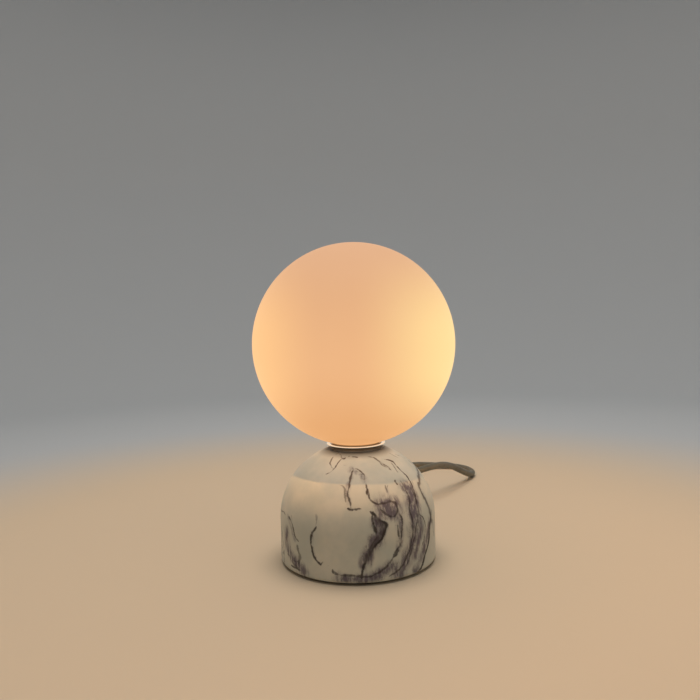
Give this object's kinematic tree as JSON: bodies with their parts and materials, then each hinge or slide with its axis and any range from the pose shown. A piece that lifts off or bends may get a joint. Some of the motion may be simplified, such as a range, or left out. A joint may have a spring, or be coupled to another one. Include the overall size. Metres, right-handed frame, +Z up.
{
  "type": "glass globe table lamp",
  "caption": "Small table lamp: a satin opal glass ball seated in a metal cup on a turned veined marble dome, with a rear mains cord, in-line switch and flat plug.",
  "frame": {"origin": "centre of the underside of the base pad, on the surface that the lamp stands on", "axes": "+Z up along the axis of the globe and the base, -Y to the front, the cord leaves towards +Y"},
  "size_m": [0.2069, 0.3604, 0.2362],
  "materials": {
    "black_plastic": "moulded",
    "black_steel": "satin paint",
    "blue_lead": "insulated",
    "brown_lead": "insulated",
    "bulb_glass": "frosted",
    "bulb_plastic": "white",
    "clear_plastic": "natural",
    "contact_brass": "bright",
    "cord_jacket": "smooth jacket",
    "cord_plastic": "moulded, grey green",
    "emitter": "glowing",
    "fibre": "pressed fibre",
    "foam_pad": "matt foam",
    "holder_ceramic": "unglazed",
    "marble": "polished, veined",
    "opal_glass": "opal, satin, lit from inside",
    "pin_metal": "nickel plated",
    "polished_nickel": "polished",
    "rocker_plastic": "moulded",
    "silicone": "soft silicone",
    "tie_strap": "hook and loop strap",
    "zinc_screw": "zinc plated",
    "zinc_steel": "zinc plated"
  },
  "bodies": {
    "base": {"base_pad": "foam_pad", "bottom_cover": "black_steel", "clamp_plate": "zinc_steel", "coil_tie": "tie_strap", "cord_clamp_bar": "black_plastic", "cord_clamp_base": "black_plastic", "cord_clamp_screws": "zinc_screw", "cord_coil": "cord_jacket", "cord_end": "cord_jacket", "cord_gland": "cord_plastic", "cord_lead": "cord_jacket", "cord_run": "cord_jacket", "cord_tail": "cord_jacket", "cover_screws": "zinc_screw", "cup_washer": "fibre", "globe_gasket": "silicone", "holder_cup": "polished_nickel", "lampholder": "holder_ceramic", "lampholder_bracket": "zinc_steel", "lampholder_contacts": "contact_brass", "lampholder_screws": "zinc_screw", "live_lead": "brown_lead", "lower_locknut": "zinc_steel", "lower_washer": "zinc_steel", "marble_base": "marble", "neutral_lead": "blue_lead", "plug_body": "cord_plastic", "plug_pin_sleeves": "black_plastic", "plug_pins": "pin_metal", "standoffs": "zinc_steel", "supply_live": "brown_lead", "supply_neutral": "blue_lead", "switch_contacts": "contact_brass", "switch_lower_shell": "cord_plastic", "switch_pivot": "zinc_steel", "switch_screws": "zinc_screw", "switch_sleeves": "cord_plastic", "switch_upper_shell": "cord_plastic", "terminal_block": "clear_plastic", "terminal_screws": "zinc_screw", "threaded_tube": "zinc_steel", "upper_locknut": "zinc_steel"},
    "globe": {"globe": "opal_glass", "globe_foot": "opal_glass"},
    "bulb": {"bulb_base": "bulb_plastic", "bulb_envelope": "bulb_glass", "bulb_emitter": "emitter", "bulb_pins": "pin_metal"},
    "rocker": {"switch_rocker": "rocker_plastic"}
  },
  "joints": [
    {"name": "globe_lift", "type": "slide", "parent": "base", "child": "globe", "axis": [0, 0, 1], "range_m": [0, 0.12]},
    {"name": "bulb_pull", "type": "slide", "parent": "base", "child": "bulb", "axis": [0, 0, 1], "range_m": [0, 0.016]},
    {"name": "switch_rock", "type": "hinge", "parent": "base", "child": "rocker", "pos_m": [0.018, 0.244, 0.0161], "axis": [-0.3907, 0.9205, 0], "range_deg": [0, 14]}
  ]
}
